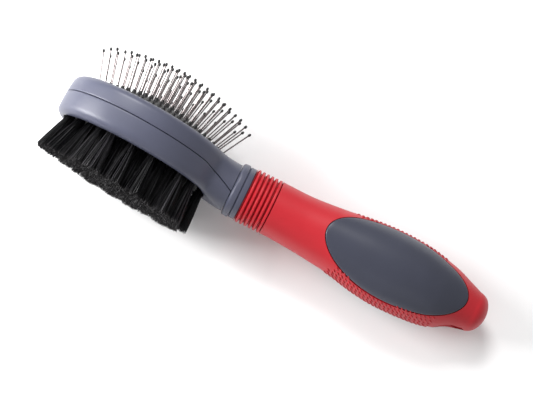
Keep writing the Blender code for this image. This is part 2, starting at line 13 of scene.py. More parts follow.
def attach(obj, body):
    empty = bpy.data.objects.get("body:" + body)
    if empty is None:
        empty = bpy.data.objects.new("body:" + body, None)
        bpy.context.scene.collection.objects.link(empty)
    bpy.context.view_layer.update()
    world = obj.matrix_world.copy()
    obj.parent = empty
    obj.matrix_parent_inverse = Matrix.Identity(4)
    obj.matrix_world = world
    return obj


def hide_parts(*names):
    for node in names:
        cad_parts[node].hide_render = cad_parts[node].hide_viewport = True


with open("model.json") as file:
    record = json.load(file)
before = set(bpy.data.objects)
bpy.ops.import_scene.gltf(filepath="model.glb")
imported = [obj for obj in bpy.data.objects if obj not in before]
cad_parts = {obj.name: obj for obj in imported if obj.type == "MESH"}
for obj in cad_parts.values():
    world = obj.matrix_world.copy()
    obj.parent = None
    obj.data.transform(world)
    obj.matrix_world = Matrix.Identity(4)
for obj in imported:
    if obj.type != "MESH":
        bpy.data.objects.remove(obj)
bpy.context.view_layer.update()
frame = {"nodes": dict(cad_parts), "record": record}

# ---------------------------------------------------------------- dimensions shared with the CAD model
GAP = 0.0003
LAY_PITCH = radians(4.4)

HEAD_BEND = radians(3.2)
HEAD_CENTRE = 0.0486
HEAD_HALF_LENGTH = 0.0404
HEAD_HALF_WIDTH = 0.0293
HEAD_TOP = 0.0109
HEAD_BOTTOM = -0.0095
RIM_FILLET = 0.0036
RIM_BULGE = 0.0006
NECK_RADIUS = 0.01175
NECK_END = 0.0145
NECK_SHARPNESS = 6.0
BEND_END = 0.012
HEAD_WALL = 0.0025
SEAM_HEIGHT = 0.0015
SEAM_KINK = 0.016
SEAM_AT_COLLAR = -0.0037

PAD_WINDOW = (0.0459, 0.0362, 0.0240)   # the cushion's opening: centre, half-length, half-width
BRISTLE_WINDOW = (0.0471, 0.0374, 0.0237)
PAD_EDGE = 0.0092
PAD_CROWN = 0.0185
PAD_ROUNDNESS = 0.80
PAD_THICKNESS = 0.0022

PIN_ROWS_EACH_SIDE = 4
PIN_ROW_SPACING = 0.0047
PIN_PITCH = 0.0054
PIN_FIRST = 0.0126
PIN_FIELD_CENTRE = 0.0450
PIN_FIELD_HALF_LENGTH = 0.0326
PIN_FIELD_HALF_WIDTH = 0.0207
PIN_WIRE_RADIUS = 0.00034
PIN_BALL_RADIUS = 0.00068
PIN_BALL_LENGTH = 0.0019
PIN_FREE_LENGTH = 0.0186
PIN_FAN_FAR = radians(22)
PIN_FAN_NEAR = radians(29.5)
PIN_FAN_SIDE = radians(30.5)

PLATE_FACE = -0.0080
TUFT_ROWS = 14
TUFT_FIRST = 0.0126
TUFT_LAST = 0.0803
TUFT_SPACING = 0.0072
TUFT_FIELD_HALF_LENGTH = 0.0364
TUFT_FIELD_HALF_WIDTH = 0.0195
TUFT_ROOT = -0.0050
TUFT_TIP_NEAR = -0.0297
TUFT_TIP_FAR = -0.0270
TUFT_LEAN_FAR = radians(15)
TUFT_LEAN_FAR_START = 0.055
TUFT_LEAN_NEAR = radians(3)
TUFT_LEAN_NEAR_END = 0.035

COLLAR_END = 0.0070
COLLAR_RADIUS = 0.0132
COLLAR_BORE = 0.0083
GRIP_START = COLLAR_END + GAP
GRIP_WALL = 0.0030
HANDLE_END = 0.1340
TAIL_START = 0.1266
# along, top, bottom, half-width
HANDLE_STATIONS = (
    (0.0070, 0.0132, -0.0132, 0.0132),
    (0.0220, 0.0131, -0.0133, 0.0131),
    (0.0350, 0.0129, -0.0140, 0.0132),
    (0.0445, 0.0135, -0.0149, 0.0139),
    (0.0586, 0.0150, -0.0166, 0.0154),
    (0.0710, 0.0164, -0.0191, 0.0169),
    (0.0827, 0.0169, -0.0204, 0.0177),
    (0.0960, 0.0162, -0.0202, 0.0174),
    (0.1060, 0.0144, -0.0193, 0.0159),
    (0.1140, 0.0126, -0.0172, 0.0136),
    (0.1200, 0.0104, -0.0145, 0.0116),
    (0.1266, 0.0079, -0.0124, 0.0098),
)
RIB_COUNT = 6
RIB_PITCH = 0.0022
RIB_FIRST = 0.0086
INSET_CENTRE = 0.0842
INSET_HALF_LENGTH = 0.0368
INSET_HALF_HEIGHT = 0.0168
INSET_RISE = 0.0006
HANG_CENTRE = 0.1212
HANG_HALF_LENGTH = 0.0056
HANG_HALF_WIDTH = 0.0032
HANG_LAND_FRONT = (0.1060, 0.0146)
HANG_LAND_REAR = (0.1270, 0.0066)
HANG_FACE_ALONG = 0.1115                # where the record's hang face mount lies on that land

# ---------------------------------------------------------------- finer dimensions of the looks
SEAM_ROUNDING = 0.00035                 # edges of the parting line
WINDOW_ROUNDING = 0.0005                # edges of the head's two openings

PAD_FLANGE = 0.0007                     # how far the pad's hidden flange reaches past its wall
PAD_FLANGE_RISE = 0.0015
# along the pin from the dome's face, radius
NIPPLE_PROFILE = (
    (-0.0006, 0.0),
    (-0.0006, 0.0016),
    (0.0000, 0.00125),
    (0.0004, 0.00098),
    (0.0009, 0.00082),
    (0.0014, 0.00072),
    (0.00175, 0.00062),
    (0.00190, 0.00045),
    (0.00192, 0.0),
)
WIRE_SINK = 0.0030                      # how far a wire reaches into the pad

TUFT_FILAMENTS = 170
FILAMENT_RADIUS = 0.00013
FILAMENT_STEPS = 6
FILAMENT_SINK = 0.0015                  # how far a filament reaches into the plate
FILAMENT_WANDER = 0.00035
TIP_RAGGEDNESS = 0.0007
TUFT_ROOT_SPREAD = 0.0018
TUFT_TIP_DEPTH = 0.0042                 # half the tips' spread along the head
OUTER_TIP_DEPTH = 0.0024                # the same on the outer side of the first and last rows
TUFT_TIP_WIDTH = 0.0037

COLLAR_BEAD = 0.0015
COLLAR_GROOVE = 0.0004                  # how far the flat band lies under the bead
RIB_HEIGHT = 0.0012
INSET_PROUD = 0.00015
INSET_ROUNDING = 0.0005

TICK_ROWS = 4                           # each side of the middle plane
TICK_ROW_SPACING = 0.0022
TICK_PITCH = 0.0022
TICK_LENGTH = 0.0024
TICK_RADIUS = 0.00042
TICK_SLANT = 0.03
TICK_MARGIN = 0.0002
TICK_FRONT_BOW = 0.004                  # how much later the outer rows start than the middle one
TICKS_ABOVE = (0.058, 0.107)            # first and last place along the handle
TICKS_BELOW = (0.056, 0.111)

SCOOP_HEIGHT = -0.0178                  # middle of the dish round the hang slot's mouth
SCOOP_HALF_LENGTH = 0.0082
SCOOP_RADIUS = 0.0062

# ---------------------------------------------------------------- colours, stage, lights and camera
# HEAD_GREY_PAINTED_LIGHTER and INSET_GREY are two copies of one grey plastic: the head's copy is painted
# lighter, painted light standing in for light falling on the head and neck.
HEAD_GREY_PAINTED_LIGHTER = (0.067, 0.071, 0.106)
INSET_GREY = (0.037, 0.040, 0.060)
GRIP_RED = (0.43, 0.011, 0.019)
RUBBER_BLACK = (0.010, 0.010, 0.011)
BEAD_BLACK = (0.008, 0.008, 0.009)
# PLATE_SHADE_BLACK is painted shade: the bristle plate is coloured near black for the shade between the
# tuft roots.
PLATE_SHADE_BLACK = (0.012, 0.012, 0.013)
STEEL_DARK = (0.13, 0.11, 0.11)
STEEL_BRIGHT = (0.30, 0.27, 0.27)
NYLON_DARK = (0.002, 0.002, 0.0025)
NYLON_USUAL = (0.004, 0.004, 0.005)
NYLON_PALE = (0.045, 0.042, 0.048)
NYLON_TIP = (0.014, 0.012, 0.013)
FLOOR_DARK = (0.90, 0.90, 0.90)
FLOOR_PALE = (0.92, 0.92, 0.92)

FLOOR_HALF_SIZE = 1.5
SKY_STRENGTH = 0.53
# name, place, target, size, energy
LIGHTS = (
    ("key", (-0.50, 0.72, 0.98), (0.0, 0.0, 0.0), 0.45, 11.5),
    ("far_end", (-0.50, -0.08, 0.26), (-0.08, 0.0, 0.02), 0.3, 5.5),
    ("low_fill", (0.25, -0.75, 0.55), (0.0, 0.0, 0.02), 0.6, 0.3),
)

CAMERA_DISTANCE = 0.714
CAMERA_TURN = radians(-11.3)            # tipped towards the bristles
CAMERA_LEAN = radians(1.0)
CAMERA_ROLL = radians(-25.9)
CAMERA_AIM = (0.01707, 0.00200, 0.00070)
CAMERA_LENS = 103.0


# ---------------------------------------------------------------- helpers
def mix(a, b, amount):
    """Value between a and b."""
    return a + (b - a) * amount


def smooth(value, low, high):
    """Smooth step from 0 at low to 1 at high."""
    t = np.clip((value - low) / (high - low), 0.0, 1.0)
    return t * t * (3.0 - 2.0 * t)


def brush_matrix():
    """The brush's own axes in the frame: laid down by the pitch, placed by the hang face mount."""
    front, rear = np.array(HANG_LAND_FRONT), np.array(HANG_LAND_REAR)
    share = (HANG_FACE_ALONG - front[0]) / (rear[0] - front[0])
    own = Vector((HANG_FACE_ALONG, mix(front[1], rear[1], share), 0.0))
    turn = Matrix.Rotation(LAY_PITCH, 4, "Y")
    mount = next(m for m in frame["record"]["mounts"] if m["name"] == "hang_face")
    return Matrix.Translation(Vector(mount["pos_m"]) - turn @ own) @ turn


BRUSH = brush_matrix()


def grid_faces(rows, columns, close_rows=False, close_columns=False):
    """Quads of a grid of points numbered row by row."""
    row = np.arange(rows if close_rows else rows - 1)[:, None]
    column = np.arange(columns if close_columns else columns - 1)[None, :]
    next_row, next_column = (row + 1) % rows, (column + 1) % columns
    corners = (row * columns + column, row * columns + next_column,
               next_row * columns + next_column, next_row * columns + column)
    return np.stack([np.broadcast_to(c, (row.size, column.size)) for c in corners], -1).reshape(-1, 4)


def mesh_piece(name, points, faces, look, clean=True, sharp=35.0):
    """A new object from points in the brush's axes; clean merges doubled points and turns faces out."""
    data = bpy.data.meshes.new(name)
    data.from_pydata(np.asarray(points, float).tolist(), [], [list(map(int, f)) for f in faces])
    data.transform(BRUSH)
    if clean:
        mesh = bmesh.new()
        mesh.from_mesh(data)
        bmesh.ops.remove_doubles(mesh, verts=mesh.verts, dist=2e-6)
        bmesh.ops.dissolve_degenerate(mesh, edges=mesh.edges, dist=1e-6)
        bmesh.ops.recalc_face_normals(mesh, faces=mesh.faces)
        mesh.to_mesh(data)
        mesh.free()
    data.shade_smooth()
    data.set_sharp_from_angle(angle=radians(sharp))
    made = bpy.data.objects.new(name, data)
    bpy.context.scene.collection.objects.link(made)
    if look:
        data.materials.append(look)
    return made


def settle(piece, body, slot, *nodes):
    """Ride on a body and stand for CAD nodes; the slot argument is not used."""
    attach(piece, body)
    if nodes:
        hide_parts(*nodes)
    return piece


# ---------------------------------------------------------------- head
def head_points(along, height, side):
    """Points of the head, whose slab leans by HEAD_BEND past the neck."""
    along, height, side = np.broadcast_arrays(along, height, side)
    bend = smooth(along, 0.0, BEND_END)
    x = mix(-along, height * sin(HEAD_BEND) - along * cos(HEAD_BEND), bend)
    y = mix(height, height * cos(HEAD_BEND) + along * sin(HEAD_BEND), bend)
    return np.stack([x, y, side], -1)


def head_half_width(along):
    """Half-width of the head's outline on the neck side of its middle."""
    offset = (along - HEAD_CENTRE) / HEAD_HALF_LENGTH
    wide = HEAD_HALF_WIDTH * sqrt(max(0.0, 1.0 - offset * offset))
    neck = NECK_RADIUS * (1.0 - float(smooth(along, NECK_END, HEAD_CENTRE)))
    return (neck ** NECK_SHARPNESS + wide ** NECK_SHARPNESS) ** (1.0 / NECK_SHARPNESS)


def rim_profile(round_share, inset):
    """Fine half section from the top to the bottom: heights and distances in from the rim."""
    top = mix(HEAD_TOP, NECK_RADIUS, round_share) - inset
    bottom = mix(HEAD_BOTTOM, -NECK_RADIUS, round_share) + inset
    radius = max(mix(RIM_FILLET, NECK_RADIUS, round_share) - inset, 0.0006)
    middle = (top + bottom) / 2.0
    bulge = RIM_BULGE * (1.0 - round_share)
    turn = np.linspace(0.0, pi / 2.0, 30)
    straight = np.linspace(top - radius, bottom + radius, 30)[1:-1]
    heights = np.concatenate([top - radius + radius * np.cos(turn), straight,
                              bottom + radius - radius * np.sin(turn)])
    depths = np.concatenate([radius * (1.0 - np.sin(turn)), np.zeros_like(straight),
                             radius * (1.0 - np.cos(turn))])
    return heights, depths + bulge * ((heights - middle) / (top - middle)) ** 2


def cut_profile(heights, depths, limit, upper, count):
    """The part of a half section above or below a height, spaced evenly from its outer end."""
    if not upper:
        heights, depths = heights[::-1], depths[::-1]
    keep = heights > limit if upper else heights < limit
    ordered = np.argsort(heights)
    h = np.append(heights[keep], limit)
    d = np.append(depths[keep], np.interp(limit, heights[ordered], depths[ordered]))
    length = np.append(0.0, np.cumsum(np.hypot(np.diff(h), np.diff(d))))
    even = np.linspace(0.0, length[-1], count)
    return np.interp(even, length, h), np.interp(even, length, d)


def seam_height(along):
    """Height of the parting line, which dives from the rim to the collar."""
    places = (0.0, 0.004, 0.009, SEAM_KINK, SEAM_KINK + 0.002)
    shares = (0.0, 0.36, 0.74, 0.985, 1.0)
    return mix(SEAM_AT_COLLAR, SEAM_HEIGHT, float(np.interp(along, places, shares)))


def head_stations(window):
    """Sections round one side of the head: each gives its rim, its window edge, its roundness and seam.

    The rim is a function from the distance in from it to a point seen from above (along, side).
    """
    centre, half_length, half_width = window
    start = centre - half_length
    found = []

    def across(along, edge):
        width = head_half_width(along)
        return (lambda d, s=along, w=width: (s, max(w - d, 0.0)), (along, edge),
                1.0 - float(smooth(along, 0.0, NECK_END)), seam_height(along))

    for along in np.linspace(0.0, start, 12)[:-1]:
        found.append(across(float(along), 0.0))
    limit = asin((HEAD_CENTRE - centre) / half_length)
    for turn in np.linspace(-pi / 2.0, limit, 40)[:-1]:
        found.append(across(centre + half_length * sin(turn), half_width * cos(turn)))
    for share in np.linspace(0.0, 1.0, 40):
        turn = pi / 2.0 * share
        window_turn = mix(limit, pi / 2.0, share)
        edge = (centre + half_length * sin(window_turn), half_width * cos(window_turn))
        found.append((lambda d, t=turn: (HEAD_CENTRE + (HEAD_HALF_LENGTH - d) * sin(t),
                                         (HEAD_HALF_WIDTH - d) * cos(t)), edge, 0.0, SEAM_HEIGHT))
    return found


def head_section(station, upper):
    """One closed section of a head half: rim, seam edge, inner wall, window edge."""
    rim, edge, share, seam = station
    sign = 1.0 if upper else -1.0
    limit = seam + sign * (GAP / 2.0 + SEAM_ROUNDING)
    heights, depths = rim_profile(share, 0.0)
    outer_h, outer_d = cut_profile(heights, depths, limit, upper, 26)
    turn = np.linspace(0.0, pi / 2.0, 5)[1:]
    seam_h = limit - sign * SEAM_ROUNDING * np.sin(turn)
    seam_d = outer_d[-1] + SEAM_ROUNDING * (1.0 - np.cos(turn))
    inner_h, inner_d = rim_profile(share, HEAD_WALL)
    inner_h, inner_d = cut_profile(inner_h, inner_d, seam + sign * GAP / 2.0, upper, 10)
    points = [(*rim(d), h) for h, d in zip(outer_h, outer_d)]
    points += [(*rim(d), h) for h, d in zip(seam_h, seam_d)]
    points += [(*rim(HEAD_WALL + d), h) for h, d in zip(inner_h[::-1], inner_d[::-1])]
    face = np.array(points[0][:2])
    edge = np.array(edge)
    out = face - edge
    out /= np.linalg.norm(out)
    rounding = WINDOW_ROUNDING * min(1.0, edge[1] / 0.004)
    points.append((*edge, inner_h[0]))
    points.append((*edge, outer_h[0] - sign * rounding))
    for t in (0.33, 0.67, 1.0):
        a = pi / 2.0 * t
        place = edge + out * rounding * (1.0 - cos(a))
        points.append((*place, outer_h[0] - sign * rounding * (1.0 - sin(a))))
    for t in (0.33, 0.67):
        points.append((*mix(edge + out * rounding, face, t), outer_h[0]))
    return points


def head_half(name, upper, window, look):
    """Upper or lower half of the head as a closed hollow shell."""
    sections = np.array([head_section(station, upper) for station in head_stations(window)])
    mirrored = sections[-2::-1].copy()
    mirrored[..., 1] *= -1.0
    rows = np.concatenate([sections, mirrored])
    count, width = rows.shape[:2]
    flat = rows.reshape(-1, 3)
    faces = grid_faces(count, width, close_columns=True)
    flat_side = np.abs(flat[:, 1]) < 1e-7
    faces = [f for f in faces if not flat_side[f].all()]
    faces += [list(range(width)), list(range((count - 1) * width, count * width))]
    return mesh_piece(name, head_points(flat[:, 0], flat[:, 2], flat[:, 1]), faces, look, sharp=40.0)


# ---------------------------------------------------------------- cushion and pins
def dome_height(along, side):
    """Height of the cushion's outer face."""
    u = (along - PAD_WINDOW[0]) / PAD_WINDOW[1]
    v = side / PAD_WINDOW[2]
    return mix(PAD_CROWN, PAD_EDGE, np.minimum(1.0, u * u + v * v) ** PAD_ROUNDNESS)


def pin_rows():
    """Roots and directions of the pins, one lengthwise row after another."""
    rows = []
    for row in range(-PIN_ROWS_EACH_SIDE, PIN_ROWS_EACH_SIDE + 1):
        side = row * PIN_ROW_SPACING
        reach = PIN_FIELD_HALF_LENGTH * sqrt(1.0 - (side / PIN_FIELD_HALF_WIDTH) ** 2)
        along = np.arange(PIN_FIRST + PIN_PITCH * 0.5 * (row % 2), PIN_FIELD_CENTRE + reach, PIN_PITCH)
        along = along[np.abs(along - PIN_FIELD_CENTRE) <= reach]
        offset = (along - PIN_FIELD_CENTRE) / PIN_FIELD_HALF_LENGTH
        tilt = np.where(offset > 0.0, PIN_FAN_FAR, PIN_FAN_NEAR) * offset
        lean = PIN_FAN_SIDE * side / PIN_FIELD_HALF_WIDTH
        height = dome_height(along, side)
        root = head_points(along, height, side)
        heading = head_points(along + np.tan(tilt), height + 1.0, side + tan(lean)) - root
        rows.append((root, heading / np.linalg.norm(heading, axis=1, keepdims=True)))
    return rows


def turned(root, heading, profile, sides):
    """A turned shape: profile gives distances along the heading and radii; a radius of 0 is a point."""
    turn_to = Vector(heading).to_track_quat("Z", "Y").to_matrix()
    basis = np.array(turn_to)
    angles = np.linspace(0.0, 2.0 * pi, sides, endpoint=False)
    circle = np.stack([np.cos(angles), np.sin(angles), np.zeros(sides)], -1) @ basis.T
    profile = np.array(profile)
    rings = root + profile[:, :1, None] * np.array(heading) + profile[:, 1:, None] * circle
    return rings.reshape(-1, 3), grid_faces(len(profile), sides, close_columns=True)


def joined(shapes):
    """Several (points, faces) as one."""
    points, faces, start = [], [], 0
    for shape_points, shape_faces in shapes:
        points.append(shape_points)
        faces.append(np.asarray(shape_faces) + start)
        start += len(shape_points)
    return np.concatenate(points), np.concatenate(faces)


def ball_profile(centre, half_length, radius, steps=8):
    """Profile of an egg-shaped bead."""
    turn = np.linspace(0.0, pi, steps + 1)
    return [(centre - half_length * cos(a), radius * sin(a)) for a in turn]


def build_pins(rows, steel, bead):
    """Wires with their black bead tips, one pair of pieces a row."""
    wire_end = PIN_FREE_LENGTH - PIN_BALL_LENGTH * 0.6
    wire = [(-WIRE_SINK, 0.0), (-WIRE_SINK, PIN_WIRE_RADIUS), (wire_end, PIN_WIRE_RADIUS), (wire_end, 0.0)]
    ball = ball_profile(PIN_FREE_LENGTH - PIN_BALL_LENGTH / 2.0, PIN_BALL_LENGTH / 2.0, PIN_BALL_RADIUS)
    for index, (roots, headings) in enumerate(rows, 1):
        row = f"{index:02d}"
        wires = joined([turned(root, heading, wire, 10) for root, heading in zip(roots, headings)])
        beads = joined([turned(root, heading, ball, 12) for root, heading in zip(roots, headings)])
        wire_piece = mesh_piece("pin_wires_" + row, *wires, steel)
        settle(wire_piece, "cushion", "bright_steel", "pin_row_" + row)
        settle(mesh_piece("pin_beads_" + row, *beads, bead), "cushion", "black_plastic")


def build_pad(rows, rubber):
    """The domed air cushion with a raised nipple round every pin."""
    segments, wall = 120, (PAD_WINDOW[1] - GAP, PAD_WINDOW[2] - GAP)
    turn = np.linspace(0.0, 2.0 * pi, segments, endpoint=False)
    shares = np.linspace(0.0, 1.0, 22) ** 0.85

    def ring(share, drop, height=None, grow=0.0):
        along = PAD_WINDOW[0] + ((wall[0] - drop) * share + grow) * np.cos(turn)
        side = ((wall[1] - drop) * share + grow) * np.sin(turn)
        tall = dome_height(along, side) - drop if height is None else height
        return head_points(along, tall, side)

    low = HEAD_TOP - HEAD_WALL - GAP
    rings = [ring(s, 0.0) for s in shares]
    rings += [ring(1.0, 0.0, low + PAD_FLANGE_RISE), ring(1.0, 0.0, low), ring(1.0, 0.0, low, PAD_FLANGE)]
    rings.append(ring(1.0, 0.0, low - PAD_THICKNESS, PAD_FLANGE))
    rings.append(ring(1.0, PAD_THICKNESS, low - PAD_THICKNESS))
    rings += [ring(s, PAD_THICKNESS) for s in shares[::-1]]
    shapes = [(np.concatenate(rings), grid_faces(len(rings), segments, close_columns=True))]
    for roots, headings in rows:
        shapes += [turned(root, heading, NIPPLE_PROFILE, 14) for root, heading in zip(roots, headings)]
    pad = mesh_piece("cushion_dome", *joined(shapes), rubber, sharp=60.0)
    settle(pad, "cushion", "black_rubber", "cushion_pad")


# ---------------------------------------------------------------- bristles
def tuft_rows():
    """For each row its place, lean, tips' height and tufts' sides."""
    rows = []
    for row in range(TUFT_ROWS):
        along = mix(TUFT_FIRST, TUFT_LAST, row / (TUFT_ROWS - 1))
        offset = (along - BRISTLE_WINDOW[0]) / TUFT_FIELD_HALF_LENGTH
        reach = TUFT_FIELD_HALF_WIDTH * sqrt(max(0.0, 1.0 - offset * offset))
        sides = [(k + 0.5 * (row % 2)) * TUFT_SPACING for k in range(-4, 5)]
        lean = TUFT_LEAN_FAR * smooth(along, TUFT_LEAN_FAR_START, TUFT_LAST)
        lean -= TUFT_LEAN_NEAR * (1.0 - smooth(along, TUFT_FIRST, TUFT_LEAN_NEAR_END))
        tip = mix(TUFT_TIP_NEAR, TUFT_TIP_FAR, row / (TUFT_ROWS - 1))
        rows.append((along, float(lean), tip, [z for z in sides if abs(z) <= reach]))
    return rows


def build_bristles(nylon):
    """Every tuft as a bundle of separate filaments that spread towards their tips."""
    chance = np.random.default_rng(11)
    for index, (along, lean, tip, sides) in enumerate(tuft_rows(), 1):
        count = TUFT_FILAMENTS * len(sides)
        home = np.repeat(sides, TUFT_FILAMENTS)
        turn = chance.uniform(0.0, 2.0 * pi, count)
        away = np.sqrt(chance.uniform(0.0, 1.0, count))
        a, b = away * np.cos(turn), away * np.sin(turn)
        share = np.linspace(0.0, 1.0, FILAMENT_STEPS)[None, :]
        ends = tip + np.abs(chance.normal(0.0, TIP_RAGGEDNESS, count))
        start = PLATE_FACE + FILAMENT_SINK
        height = mix(start, ends[:, None], share)
        outward = {1: a < 0.0, TUFT_ROWS: a > 0.0}.get(index, np.zeros(count, bool))
        deep = np.where(outward, OUTER_TIP_DEPTH, TUFT_TIP_DEPTH)[:, None]
        wander = chance.normal(0.0, FILAMENT_WANDER, (2, count, 1)) * np.sin(share * 2.2)
        depth = a[:, None] * mix(TUFT_ROOT_SPREAD, deep, share)
        width = b[:, None] * mix(TUFT_ROOT_SPREAD, TUFT_TIP_WIDTH, share)
        path_along = along + (TUFT_ROOT - height) * tan(lean) + depth + wander[0]
        path = head_points(path_along, height, home[:, None] + width + wander[1])
        settle(filament_piece(f"bristle_tufts_{index:02d}", path, chance, nylon), "brush", "black_nylon",
               f"bristle_row_{index:02d}")


def filament_piece(name, path, chance, look):
    """Thin three-sided tubes along paths, shape (filaments, steps, 3), with pointed ends."""
    count, steps = path.shape[:2]
    heading = path[:, -1] - path[:, 0]
    heading /= np.linalg.norm(heading, axis=1, keepdims=True)
    first = np.cross(heading, [1.0, 0.0, 0.0])
    first /= np.linalg.norm(first, axis=1, keepdims=True)
    second = np.cross(heading, first)
    angles = np.linspace(0.0, 2.0 * pi, 3, endpoint=False)[None, :, None]
    turn = chance.uniform(0.0, 2.0 * pi, (count, 1, 1))
    circle = np.cos(angles + turn) * first[:, None] + np.sin(angles + turn) * second[:, None]
    rings = path[:, :, None] + FILAMENT_RADIUS * circle[:, None]
    tips = path[:, -1] + heading * FILAMENT_RADIUS * 0.8
    per = steps * 3 + 1
    points = np.concatenate([rings.reshape(count, -1, 3), tips[:, None]], 1).reshape(-1, 3)
    side_faces = grid_faces(steps, 3, close_columns=True)
    last = (steps - 1) * 3
    cap = np.array([[last, last + 1, per - 1], [last + 1, last + 2, per - 1], [last + 2, last, per - 1]])
    starts = np.arange(count)[:, None, None] * per
    quads = (side_faces[None] + starts).reshape(-1, 4)
    triangles = (cap[None] + starts).reshape(-1, 3)
    piece = mesh_piece(name, points, [*quads, *triangles], look, clean=False, sharp=80.0)
    layer = piece.data.uv_layers.new(name="fibre")
    lengths = np.concatenate([np.repeat(np.linspace(0.0, 1.0, steps), 3), [1.0]])
    u = np.tile(lengths, count)
    v = np.repeat(chance.uniform(0.0, 1.0, count), per)
    corners = np.zeros(len(piece.data.loops), np.int32)
    piece.data.loops.foreach_get("vertex_index", corners)
    layer.data.foreach_set("uv", np.stack([u[corners], v[corners]], -1).ravel())
    return piece


# ---------------------------------------------------------------- handle
def handle_section(along):
    """Top, bottom and half-width of the handle's plain form at one place."""
    rows = HANDLE_STATIONS
    if along >= TAIL_START:
        share = sqrt(max(0.0, 1.0 - ((along - TAIL_START) / (HANDLE_END - TAIL_START)) ** 2))
        _, top, bottom, wide = rows[-1]
        middle = (top + bottom) / 2.0
        return middle + (top - middle) * share, middle + (bottom - middle) * share, wide * share
    last = len(rows) - 2
    index = max(i for i in range(last + 1) if rows[i][0] <= along or i == 0)
    before, first = rows[max(index - 1, 0)], rows[index]
    second, after = rows[index + 1], rows[min(index + 2, last + 1)]
    step = second[0] - first[0]
    t = (along - first[0]) / step
    values = []
    for k in (1, 2, 3):
        slope_a = (second[k] - before[k]) / (second[0] - before[0]) * step
        slope_b = (after[k] - first[k]) / (after[0] - first[0]) * step
        values.append((2 * t**3 - 3 * t**2 + 1) * first[k] + (t**3 - 2 * t**2 + t) * slope_a
                      + (3 * t**2 - 2 * t**3) * second[k] + (t**3 - t**2) * slope_b)
    return tuple(values)


def handle_point(along, angle, offset):
    """A point round the handle: angle 0 is the side, a quarter turn is towards the pins."""
    top, bottom, wide = handle_section(along)
    return (along, (top + bottom) / 2.0 + ((top - bottom) / 2.0 + offset) * sin(angle),
            (wide + offset) * cos(angle))


def handle_ring(along, offset, segments):
    """A ring round the handle, offset from its plain form."""
    return [handle_point(along, 2.0 * pi * index / segments, offset) for index in range(segments)]


def lathe(name, profile, segments, look, sharp=35.0):
    """A closed profile of (along, radius) turned round the handle's axis."""
    turn = np.linspace(0.0, 2.0 * pi, segments, endpoint=False)
    points = np.array([[(x, r * sin(a), r * cos(a)) for a in turn] for x, r in profile])
    faces = grid_faces(len(profile), segments, close_rows=True, close_columns=True)
    return mesh_piece(name, points.reshape(-1, 3), faces, look, sharp=sharp)


def build_collar(grey):
    """The collar: a rounded bead towards the head, a shallow groove, and a flat band."""
    start, top = GAP, COLLAR_RADIUS
    arc = [(start + COLLAR_BEAD * (1.0 - cos(a)), top - COLLAR_BEAD * (1.0 - sin(a)))
           for a in np.linspace(0.0, pi / 2.0, 9)]
    band = top - COLLAR_GROOVE
    back = [(start + 1.9 * COLLAR_BEAD, top), (start + 2.25 * COLLAR_BEAD, top - 0.0001),
            (start + 2.5 * COLLAR_BEAD, band - COLLAR_GROOVE), (start + 2.75 * COLLAR_BEAD, band),
            (COLLAR_END - 0.0003, band), (COLLAR_END - 0.0001, band - 0.0001),
            (COLLAR_END, band - 0.0003)]
    profile = [(start, COLLAR_BORE)] + arc + back + [(COLLAR_END, COLLAR_BORE)]
    settle(lathe("neck_collar", profile, 120, grey), "brush", "grey_plastic", "collar_ring")


def rib_offset(along):
    """Offset of the ribbed stretch by the collar from the plain form."""
    phase = (along - RIB_FIRST) / RIB_PITCH
    if phase < -0.5 or phase > RIB_COUNT - 0.5:
        return 0.0
    away = 2.0 * abs(phase - round(phase))
    return 0.0002 - (RIB_HEIGHT + 0.0002) * float(smooth(away, 0.35, 0.98)) - 0.0001 * away * away


def boolean(target, operation, cutter):
    """Cut with another object for good."""
    modifier = target.modifiers.new(operation, "BOOLEAN")
    modifier.operation = operation
    modifier.solver = "EXACT"
    modifier.object = cutter
    bpy.context.view_layer.update()
    graph = bpy.context.evaluated_depsgraph_get()
    done = bpy.data.meshes.new_from_object(target.evaluated_get(graph))
    target.modifiers.clear()
    target.data = done
    bpy.data.objects.remove(cutter)


def inset_patch(side, grow, offset, rings=1, segments=160):
    """Rings of an oval patch over one side of the handle, from its middle to its outline."""
    found = []
    for share in np.linspace(0.0, 1.0, rings + 1):
        ring = []
        for index in range(segments):
            turn = 2.0 * pi * index / segments
            along = INSET_CENTRE - (INSET_HALF_LENGTH + grow) * share * cos(turn)
            top, bottom, _ = handle_section(along)
            tall = (top - bottom) / 2.0
            rise = (INSET_HALF_HEIGHT + grow) * share * sin(turn)
            angle = asin(INSET_RISE / tall) + asin(max(-0.99, min(0.99, rise / tall)))
            x, y, z = handle_point(along, angle, offset)
            ring.append((x, y, z * side))
        found.append(ring)
    return found


def inset_solid(name, side, grow, layers, rings, look=None, sharp=35.0):
    """A closed oval plate: layers are (grow, offset) from its face's outline to its back's."""
    face = inset_patch(side, grow + layers[0][0], layers[0][1], rings)
    edge = [inset_patch(side, grow + extra, offset)[-1] for extra, offset in layers[1:-1]]
    back = inset_patch(side, grow + layers[-1][0], layers[-1][1], rings)[::-1]
    everything = np.array(face + edge + back)
    faces = grid_faces(len(everything), everything.shape[1], close_columns=True)
    return mesh_piece(name, everything.reshape(-1, 3), faces, look, sharp=sharp)


def build_insets(grey):
    """The hard oval palm insets, slightly proud with a rounded edge."""
    turn = np.linspace(0.0, pi / 2.0, 6)
    layers = [(-INSET_ROUNDING * (1.0 - sin(a)), INSET_PROUD - INSET_ROUNDING * (1.0 - cos(a)))
              for a in turn]
    layers.append((0.0, -GRIP_WALL + 2.0 * GAP))
    for side, word in ((1, "left"), (-1, "right")):
        piece = inset_solid("palm_shell_" + word, side, 0.0, layers, 26, grey)
        settle(piece, "brush", "grey_plastic", "palm_inset_" + word)


